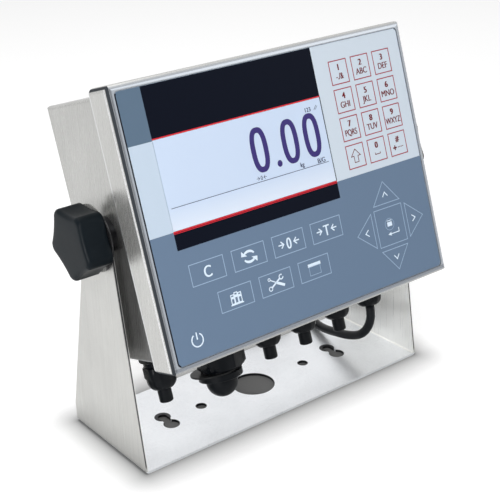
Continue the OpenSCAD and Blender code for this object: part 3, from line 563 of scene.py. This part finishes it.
def coil_points():
    """Three turns inwards on the table, and three outwards on top of them."""
    turns, per_turn, rounding = 3, 24, 0.25
    points = []
    for i in range(2 * turns * per_turn + 1):
        t = i / per_turn
        x = abs(t - turns)
        away = x if x > rounding else (x * x / rounding + rounding) / 2
        s = min(1, max(0, (t - turns + rounding) / (2 * rounding)))
        r = COIL_INNER + COIL_PITCH * away
        points.append(Vector((COIL_X + r * math.cos(2 * math.pi * t), COIL_Y + r * math.sin(2 * math.pi * t),
                              CORD_D / 2 + COIL_PITCH * s * s * (3 - 2 * s))))
    return points


def tube(points, radius, sides=20):
    """Rings along points, turned as little as possible from one to the next."""
    rings = []
    side = Vector((1, 0, 0))
    for i, p in enumerate(points):
        way = (points[min(len(points) - 1, i + 1)] - points[max(0, i - 1)]).normalized()
        side = (side - way * side.dot(way)).normalized()
        other = way.cross(side)
        rings.append([p + radius * (math.cos(2 * math.pi * k / sides) * side
                                    + math.sin(2 * math.pi * k / sides) * other) for k in range(sides)])
    return rings


cord_path = curved(ROUTE, 2) + coil_points() + [COIL_END, COIL_EXIT]
shape = Shape()
shape.loft(tube(cord_path, CORD_D / 2))
cord = shape.piece("mains_cord", [CORD], None, Matrix.Scale(MM, 4), "cord_rubber", smooth=180)
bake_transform(cord)
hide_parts("power_cord", "cord_coil")


def across_plug(outline, y, x=0.0, z=0.0):
    """A ring of the plug: y runs from the cord to the blades."""
    return [(a + x, y, b + z) for a, b in outline][::-1]


def make_plug():
    s = Shape()
    relief, thin, thick, ribs = 32, 9.5, 14, 14
    rings = []
    for i in range(ribs + 1):             # the ribbed relief
        y = relief * i / ribs
        d = thin + (thick - thin) * i / ribs
        for back, shrink in ((0.0, 0.0), (1.5, 0.0), (1.55, 1.1), (2.2, 1.1)):
            if y + back <= relief:
                own = d - shrink
                rings.append(across_plug(rounded(own, own, own / 2 - 0.02), y + back))
    for y, w, h, r in ((32.2, 15, 15, 6), (36, 17.5, 16.2, 6), (42, 24, 20.5, 6), (46, 27.2, 23.2, 6),
                       (50, 28, 23.8, 6), (63, 28, 23.8, 6), (65.2, 27, 22.8, 5.6), (66, 25, 20.8, 5)):
        rings.append(across_plug(rounded(w, h, r), y))
    s.loft(rings)
    for x in (-6.35, 6.35):               # two flat blades
        s.loft([across_plug(rounded(w, h, 0.5, 3), y, x, 3.5)
                for y, w, h in ((65, 1.5, 6.4), (81.5, 1.5, 6.4), (83, 0.9, 5.4))], part=1)
    pin = 2.4                             # and the round earth pin
    s.loft([across_plug(oval(pin * k, pin * k, 24), y, z=-7)
            for y, k in ((65, 1), (84, 1), (85.6, 0.75), (86, 0.35))], part=1)
    place = Matrix.Translation(COIL_EXIT * MM) @ Matrix.Scale(MM, 4)
    return s.piece("mains_plug", [PLUG, PLATED], "bracket", place, "plug_rubber", SHARP)


plug = make_plug()
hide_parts("power_plug")


# ---------------------------------------------------------------- film print
def grid_region(shape, us, vs, holes, part):
    """A region cut into rectangles by lists of u and v, without those whose centre is in a hole."""
    for a, b in zip(us, us[1:]):
        for c, d in zip(vs, vs[1:]):
            cu, cv = (a + b) / 2, (c + d) / 2
            if not any(u0 < cu < u1 and v0 < cv < v1 for u0, v0, u1, v1 in holes):
                shape.flat(rect(a, c, b, d), part)


def film_print():
    s = Shape()
    black, block, pale, strip, red, dark, line = range(7)
    edge, key_gap = 0.45, 0.25
    split = V1 - 0.6                      # between the darker block and the pale strip at the left
    corner = TOP - edge - CORNER          # where the upper corners begin
    s.flat([(LEFT + edge, split), (U0, split), (U0, TOP - edge)]
           + arc_points(LEFT + CORNER + edge, corner, CORNER, 90, 180, 8), block)
    s.flat(rect(LEFT + edge, V0 - 0.2, U0, split), strip)
    for low, high, part in ((V1 + 0.9, TOP - edge, black), (V1, V1 + 0.9, red), (V0 - 1.0, V0, red),
                            (V0 - 1.4, V0 - 1.0, black), (V0 - 1.85, V0 - 1.4, red),
                            (-18.5, V0 - 1.85, black)):
        s.flat(rect(U0, low, U1, high), part)
    holes, us, vs = [], {U1, RIGHT - edge}, {V0 - 0.9, corner}
    for place in NUMBER_PLACES:
        (u0, v0), _, (u1, v1), _ = box(*place, NUMBER_W, NUMBER_H, key_gap)
        holes.append((u0, v0, u1, v1))
        us |= {u0, u1}
        vs |= {v0, v1}
    grid_region(s, sorted(us), sorted(vs), holes, pale)
    s.flat([(U1, corner), (RIGHT - edge, corner)]
           + arc_points(RIGHT - CORNER - edge, corner, CORNER, 0, 90, 8) + [(U1, TOP - edge)], pale)
    s.stroke(rounded(RIGHT - LEFT - edge, TOP - BOTTOM - edge, CORNER - edge / 2), edge, True, line)
    # the dark line at the left edge, with its two corners: the gap there, widened with painted shadow of the
    # rim
    wide, inset = 1.1, 0.6
    s.z = PRINT + 0.01
    s.stroke([(LEFT + inset, TOP - CORNER), (LEFT + inset, BOTTOM + CORNER)], wide, part=dark)
    s.arc((LEFT + CORNER, TOP - CORNER), CORNER - inset, 140, 180, wide, 12, dark)
    s.arc((LEFT + CORNER, BOTTOM + CORNER), CORNER - inset, 180, 250, wide, 12, dark)
    s.z = PRINT
    s.stroke([(U1 - 0.1, V0), (U1 - 0.1, V1)], 0.8, part=dark)
    s.piece("film_print", [BAND, BLOCK, PALE, STRIP, RED, EDGE, RIM_LINE], "housing", PANEL, "keypad_film")


def film_seams():
    """The film runs on over the narrow gap round each key."""
    s = Shape()
    reach = 0.32
    for place in NUMBER_PLACES:
        s.stroke(box(*place, NUMBER_W, NUMBER_H, reach / 2), reach, True, 1)
    for place in FUNCTIONS.values():
        s.stroke(box(*place, FUNCTION_W, FUNCTION_H, reach / 2), reach, True)
    s.stroke(box(ENTER_U, ENTER_V, ENTER_W, ENTER_H, reach / 2), reach, True)
    for place in ARROWS.values():
        s.stroke(turned(((-0.16, -14.85), (18.27, 0), (-0.16, 14.85)), *place), reach, True)
    s.arc((POWER_U, POWER_V), 8.16, 0, 360, reach, 64)
    s.piece("film_seams", [BLUE, PALE], "housing", PANEL, "keypad_film")


def key_print(s, name, line, mark):
    """The print on a key rides on it: its outline in one colour, its sign in another."""
    s.piece("print_" + name, [line, mark], name, PANEL, "keys")


def number_keys():
    for (name, words), (u, v) in zip(NUMBERS.items(), NUMBER_PLACES):
        s = Shape()
        w = 0.78
        s.stroke(box(u, v, NUMBER_W, NUMBER_H, -w / 2), w, True)
        digit, _, letters = words.partition(" ")
        if digit:
            s.text(digit, (u, v + 3.9), 4.9, 0.9, 0.36)
        if letters:
            s.text(letters, (u, v - 2.9), 4.9, 0.86 if len(letters) < 4 else 0.76, 0.16)
        if name == "key_shift":
            s.stroke([(u - 2.0, v - 4.8), (u - 2.0, v), (u - 4.6, v), (u, v + 5.4), (u + 4.6, v),
                      (u + 2.0, v), (u + 2.0, v - 4.8)], 0.6, True, 1)
        if name == "key_0":
            s.stroke([(u - 2.6, v - 2.0), (u - 2.6, v - 3.4), (u + 2.6, v - 3.4), (u + 2.6, v - 2.0)],
                     0.6, part=1)
        if name == "key_symbol":
            s.stroke([(u - 5.6, v - 2.9), (u - 1.8, v - 2.9)], 1.1, part=1)
            s.stroke([(u - 3.7, v - 4.8), (u - 3.7, v - 1.0)], 1.1, part=1)
            for i in range(4):
                s.flat(rect(u - 0.6 + 1.6 * i, v - 3.4, u + 0.3 + 1.6 * i, v - 2.6), 1)
        key_print(s, name, KEY_RED, DIGIT_RED)


def small_arrow(s, u, v, way):
    """A short arrow with an open head, pointing along u."""
    s.stroke([(u - 2.4 * way, v), (u + 2.2 * way, v)], 0.95, part=1)
    s.stroke([(u + 0.1 * way, v + 2.5), (u + 2.6 * way, v), (u + 0.1 * way, v - 2.5)], 0.95, part=1)


def function_sign(s, name, u, v):
    """The white sign on a function key."""
    if name == "key_clear":
        s.text("C", (u, v), 8.6, 0.85, 0.22)
    if name in ("key_zero", "key_tare"):
        s.text("0" if name == "key_zero" else "T", (u, v), 8.6, 0.8, 0.22)
        small_arrow(s, u - 7.4, v, 1)
        small_arrow(s, u + 7.4, v, -1)
    if name == "key_units":               # two bent arrows, each after the other
        outer = [(5.4 * math.cos(math.radians(a)), 4.3 * math.sin(math.radians(a)) + 0.5)
                 for a in range(20, 150, 10)]
        inner = [(4.2 * math.cos(math.radians(a)), 2.3 * math.sin(math.radians(a)) + 0.6)
                 for a in range(150, 10, -10)]
        for way in (0, 180):
            s.flat(turned(outer + inner, way, u, v), 1)
            s.flat(turned(((-6.2, 5.0), (-1.9, 0.6), (-7.0, 1.2)), way, u, v), 1)
    if name == "key_library":             # three folders on a shelf
        for x, h in ((-4.6, 6.6), (-1.4, 7.8), (1.8, 7.0)):
            s.stroke(rect(u + x, v - 4.2, u + x + 2.6, v - 4.2 + h), 0.7, True, 1)
            s.flat(rect(u + x + 0.4, v - 4.2 + h * 0.55, u + x + 2.2, v - 4.2 + h * 0.8), 1)
        s.stroke([(u - 5.6, v - 4.9), (u + 5.6, v - 4.9)], 0.8, part=1)
    if name == "key_tools":               # a spanner and a screwdriver, crossed
        s.stroke([(u - 5.2, v - 3.0), (u + 3.4, v + 2.0)], 1.3, part=1)
        s.arc((u + 5.0, v + 2.9), 1.7, 55, 355, 0.9, part=1)
        s.arc((u - 6.0, v - 3.4), 1.5, 0, 360, 0.7, part=1)
        s.stroke([(u - 5.6, v + 3.2), (u + 0.4, v - 0.4)], 0.8, part=1)
        s.stroke([(u + 0.2, v - 0.3), (u + 7.0, v - 3.9)], 2.0, part=1)
        s.arc((u - 6.0, v + 3.5), 1.0, 0, 360, 0.6, part=1)
    if name == "key_screen":
        s.flat(rect(u - 5.9, v + 1.9, u + 6.3, v + 4.3), 1)
        s.stroke(rect(u - 5.2, v - 4.6, u + 5.4, v + 1.9), 0.4, True)


def function_keys():
    for name, (u, v) in FUNCTIONS.items():
        s = Shape()
        w = 0.55
        s.stroke(box(u, v, FUNCTION_W, FUNCTION_H, -w / 2), w, True)
        function_sign(s, name, u, v)
        key_print(s, name, KEY_LINE, ICON)


def pad_keys():
    u, v = ENTER_U, ENTER_V
    s = Shape()
    s.stroke(box(u, v, ENTER_W, ENTER_H, -0.28), 0.55, True)
    s.arc((u - 1.0, v + 1.4), 4.6, 0, 360, 0.35)
    s.flat(rect(u - 3.4, v - 0.2, u + 1.6, v + 3.2), 1)
    s.stroke([(u - 3.4, v + 4.3), (u + 1.6, v + 4.3)], 0.6, part=1)
    s.stroke([(u + 7.4, v - 3.2), (u + 7.4, v - 6.4), (u - 1.6, v - 6.4)], 0.7, part=1)
    s.flat([(u - 4.4, v - 6.4), (u - 0.9, v - 7.9), (u - 0.9, v - 4.9)], 1)
    key_print(s, "key_enter", KEY_LINE, ICON)
    for name, place in ARROWS.items():
        s = Shape()
        s.stroke(turned(((0.28, -13.7), (17.4, 0), (0.28, 13.7)), *place), 0.55, True)
        s.stroke(turned(((5.6, -2.6), (9.0, 0), (5.6, 2.6)), *place), 0.8, part=1)
        key_print(s, name, KEY_LINE, ICON)
    u, v = POWER_U, POWER_V
    s = Shape()
    s.arc((u, v), 4.7, 122, 418, 0.95, 40, 1)
    s.stroke([(u, v + 0.3), (u, v + 5.6)], 0.95, part=1)
    key_print(s, "key_power", KEY_LINE, ICON)


def nought(s, cu, cv, w, h, thick):
    """A squarish ring, thinner at the top and bottom."""
    outer, inner = [], []
    for c, d in oval(1, 1, 48):
        x, y = math.copysign(abs(c) ** 0.78, c), math.copysign(abs(d) ** 0.78, d)
        outer.append((cu + x * w / 2, cv + y * h / 2))
        inner.append((cu + x * (w / 2 - thick), cv + y * (h / 2 - thick * 0.95)))
    n = len(outer)
    s.add(at_height(outer + inner, PRINT), [(i, (i + 1) % n, n + (i + 1) % n, n + i) for i in range(n)])


def screen_print():
    """What the lit screen shows: three large noughts and the small signs round them."""
    s = Shape()
    for u in (-23.1, 5.4, 26.4):
        nought(s, u, 33.3, 15.6, 33.0, 4.3)
    s.flat(oval(2.3, 2.5, 24, -7.8, 19.7))
    s.text("123", (27.2, 52.4), 3.3, 0.95, 0.14)
    s.stroke([(33.2, 50.9), (36.0, 54.2)], 0.45, part=1)
    s.stroke([(34.6, 50.9), (37.0, 53.6)], 0.35, part=1)
    s.text("kg", (12.0, 14.3), 3.6, 0.85, 0.14)
    s.text("B/G", (30.6, 13.4), 3.8, 0.95, 0.14)
    s.text("0", (-26.6, 13.5), 3.2, 0.85, 0.06)
    for way, u in ((1, -29.9), (-1, -23.3)):
        s.stroke([(u - 1.3 * way, 13.5), (u + 1.3 * way, 13.5)], 0.4, part=1)
        s.stroke([(u, 14.8), (u + 1.4 * way, 13.5), (u, 12.2)], 0.4, part=1)
    s.stroke([(-106.5, 10.8), (37.2, 10.8)], 0.45, part=1)
    s.piece("screen_picture", [INK, INK_THIN], "housing", PANEL, "screen")


film_print()
film_seams()
number_keys()
function_keys()
pad_keys()
screen_print()


# ---------------------------------------------------------------- knobs
def knob_outline(inset):
    """Five lobes with slightly hollow sides, seen along the tilt axis and moved in by an inset."""
    n, lobe, reach = 240, 7.4, 27.3       # points, radius of a lobe, radius over the lobes
    hollow, hollow_r = 1.0, 70.0          # depth and radius of a hollow side
    # degrees from a lobe's middle to a side's, to the end of its arc, and of the first lobe's place
    half, lobe_end, first = 36, 9.5, 52.5
    centre_r = reach - lobe
    flat = centre_r * math.cos(math.radians(half)) + lobe
    far = flat + hollow_r - hollow
    xy = []
    for i in range(n):
        a = 360 * i / n
        phi = abs((a + half) % (2 * half) - half)
        p, psi = math.radians(phi), math.radians(half - phi)
        if phi <= lobe_end:
            r = centre_r * math.cos(p) + math.sqrt(lobe ** 2 - (centre_r * math.sin(p)) ** 2)
        else:
            r = flat / math.cos(psi)
        r = min(r, far * math.cos(psi) - math.sqrt(hollow_r ** 2 - (far * math.sin(psi)) ** 2))
        turn = math.radians(a + 90 + first)
        xy.append((r * math.cos(turn), r * math.sin(turn)))
    out = []
    for i, (x, y) in enumerate(xy):
        (ax, ay), (bx, by) = xy[i - 1], xy[(i + 1) % n]
        t = Vector((bx - ax, by - ay)).normalized()
        out.append((x - t.y * inset, y + t.x * inset))
    return out


def make_knob(side):
    s = Shape()
    base, tall, brim = 2.2, 20.5, 3.2     # from the arm, height, rounding of the outer edge
    profile = [(0.9, 0.0), (0.35, 0.35), (0.0, 1.1), (0.0, 6.0), (0.0, 12.0), (0.0, tall - brim)]
    for degrees in range(12, 96, 12):
        a = math.radians(degrees)
        profile.append((brim * (1 - math.cos(a)), tall - brim + brim * math.sin(a) * 0.985))
    rings = [at_height(knob_outline(inset), base + z) for inset, z in profile]
    top = rings[-1]
    for share, z in ((0.9, tall - 0.03), (0.6, tall - 0.005), (0.3, tall), (0.06, tall)):
        rings.append([(x * share, y * share, base + z) for x, y, _ in top])
    s.loft(rings)
    name = "knob_left" if side < 0 else "knob_right"
    o = s.piece("clamp_" + name, [KNOB], name, pivot(side), "knob_plastic", smooth=180)
    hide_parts(name)


make_knob(-1)
make_knob(1)


# ---------------------------------------------------------------- cable glands
def hex_ring(flats, z, corner, sides=48):
    """A hexagon whose corners are turned down to a diameter, as a ring of points."""
    points = []
    for k in range(sides):
        a = 2 * math.pi * k / sides
        r = flats / 2 / math.cos((a + math.pi / 6) % (math.pi / 3) - math.pi / 6)
        r = min(r, corner / 2)
        points.append((r * math.cos(a), r * math.sin(a), z))
    return points


def fluted_ring(radius, z, sides=96):
    """A circle with twelve faint flutes."""
    points = []
    for k in range(sides):
        a = 2 * math.pi * k / sides
        r = radius * (1 + 0.012 * math.cos(12 * a))
        points.append((r * math.cos(a), r * math.sin(a), z))
    return points


def make_gland(name, u, pin):
    """A hex body and neck, a dome nut on it, and a blanking pin if nothing else is in it."""
    s = Shape()
    s.loft([hex_ring(24, z, corner) for z, corner in ((0.0, 26.2), (0.5, 27.2), (5.5, 27.2), (6.1, 25.4))])
    s.turn([(11, 6.0), (11, 9.4), (10.4, 10.0)])
    rings = [hex_ring(22.5, z, corner, 96) for z, corner in ((10.0, 23.4), (10.6, 24.6), (17.8, 24.6))]
    for z, r in ((19.6, 11.2), (21.4, 11.15), (23.4, 10.9), (25.0, 10.4), (26.4, 9.5), (27.4, 8.5),
                 (28.0, 7.7)):
        rings.append(fluted_ring(r, z))
    rings.append(at_height(oval(6.3, 6.3, 96), 27.6))
    s.loft(rings)
    body = s.piece("gland_" + name, [GLAND], "housing", entry(u), "gland_plastic", SHARP)
    if pin:
        s = Shape()
        s.turn([(5.3, 26.0), (5.3, 37.9), (5.0, 38.6), (4.4, 39.0)], 48)
        s.piece("pin_" + name, [GLAND], "housing", entry(u), "gland_plastic", SHARP)
    return body


GLANDS = (("1", -110.5, True), ("2", -9.99, True), ("3", 26.5, True), ("4", 63.0, True), ("5", 99.5, False))
made = [make_gland(*g) for g in GLANDS]
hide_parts("gland_bodies", "gland_nuts", "blanking_pins")


def make_connector():
    """The large hex connector, and its domed cap a little to the left of its middle."""
    u, cap_offset, dome, level = -56.6, -3, 12.5, 40.4
    s = Shape()
    s.loft([hex_ring(34, z, corner) for z, corner in ((0.0, 37.0), (0.7, 38.6), (28.6, 38.6), (29.8, 35.0))])
    s.turn([(16, 29.5), (16, 31.0)])
    body = s.piece("connector_shell", [GLAND], "housing", entry(u), "gland_plastic", SHARP)
    s = Shape()
    s.turn([(17.0, 32.2), (17.5, 32.7), (17.5, 37.0), (17.1, 37.4), (12.9, 37.6), (dome, 38.0), (dome, level)]
           + [(dome * math.cos(math.radians(a)), level + dome * math.sin(math.radians(a)))
              for a in range(9, 90, 9)], 72)
    cap = s.piece("connector_dust_cap", [GLAND], "housing", entry(u + cap_offset), "gland_plastic", SHARP)
    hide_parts("connector_body")
    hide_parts("connector_cap")


make_connector()


# ---------------------------------------------------------------- studio
def make_floor():
    """A white floor. It glows a little, and is painted darker close to the part's footprint: painted shadow.
    """
    mesh = bpy.data.meshes.new("floor")
    mesh.from_pydata([(-6, -6, 0), (6, -6, 0), (6, 8, 0), (-6, 8, 0)], [], [(0, 1, 2, 3)])
    floor = bpy.data.objects.new("floor", mesh)
    bpy.context.scene.collection.objects.link(floor)
    m = Nodes(bpy.data.materials.new("floor_white"))
    m.tree.nodes.clear()
    half_base = (0.1385, 0.048, 0)
    where = m.vector("ABSOLUTE", m.node("ShaderNodeTexCoord").outputs["Object"])
    outside = m.vector("MAXIMUM", m.vector("SUBTRACT", where, half_base), (0, 0, 0))
    # painted shadow: the glow fades and the colour darkens close to the footprint
    spread = m.math("POWER", m.ramp(m.vector("LENGTH", outside), 0.0, 1.0, 0.002, 0.034), 0.5)
    glow = m.math("MULTIPLY", m.math("MULTIPLY", m.seen(), 0.45), spread)
    white_with_painted_shadow = m.node("ShaderNodeBsdfDiffuse", Color=m.ramp(spread, 0.22, 0.8, 0.0, 1.0))
    emission = m.node("ShaderNodeEmission", Color=WHITE, Strength=glow)
    both = m.node("ShaderNodeAddShader")
    m.feed(both.inputs[0], white_with_painted_shadow.outputs[0])
    m.feed(both.inputs[1], emission.outputs[0])
    m.node("ShaderNodeOutputMaterial", Surface=both.outputs[0])
    mesh.materials.append(m.owner)


def make_world():
    """Even pale light, and a dark room behind the camera that only reflections show."""
    w = Nodes(bpy.data.worlds.new("studio"))
    bpy.context.scene.world = w.owner
    background = w.tree.nodes["Background"]
    w.feed(background.inputs["Strength"], w.ramp(w.seen(), 0.38, 1.0, 0.0, 1.0))
    direction = w.node("ShaderNodeTexCoord").outputs["Generated"]
    room = w.ramp(w.vector("DOT_PRODUCT", direction, (-0.60, -0.70, 0.39)), 1.0, 0.12, 0.62, 0.93)
    reflected = w.node("ShaderNodeLightPath").outputs["Is Glossy Ray"]
    w.feed(background.inputs["Color"], w.mix(reflected, 1.0, room, "FLOAT"))


def lamp(name, place, aim, size, power):
    """A rectangular lamp that faces a point."""
    data = bpy.data.lights.new(name, "AREA")
    data.shape = "RECTANGLE"
    data.size, data.size_y = size
    data.energy = power
    o = bpy.data.objects.new(name, data)
    o.location = place
    o.rotation_euler = (Vector(aim) - Vector(place)).to_track_quat("-Z", "Y").to_euler()
    bpy.context.scene.collection.objects.link(o)


make_floor()
make_world()
lamp("key_light", (-1.2, -1.4, 1.9), (0, 0, 0.12), (1.2, 1.2), 21)
lamp("fill_light", (1.3, -1.2, 1.3), (0, 0, 0.15), (1.2, 1.2), 5)
lamp("low_light", (-1.5, -0.75, 0.42), (0.1, 0, 0.02), (0.7, 0.5), 15)
lamp("top_light", (0.1, 0.5, 1.9), (0, 0, 0.1), (1.5, 1.5), 9)
bpy.context.scene.view_settings.view_transform = "Standard"
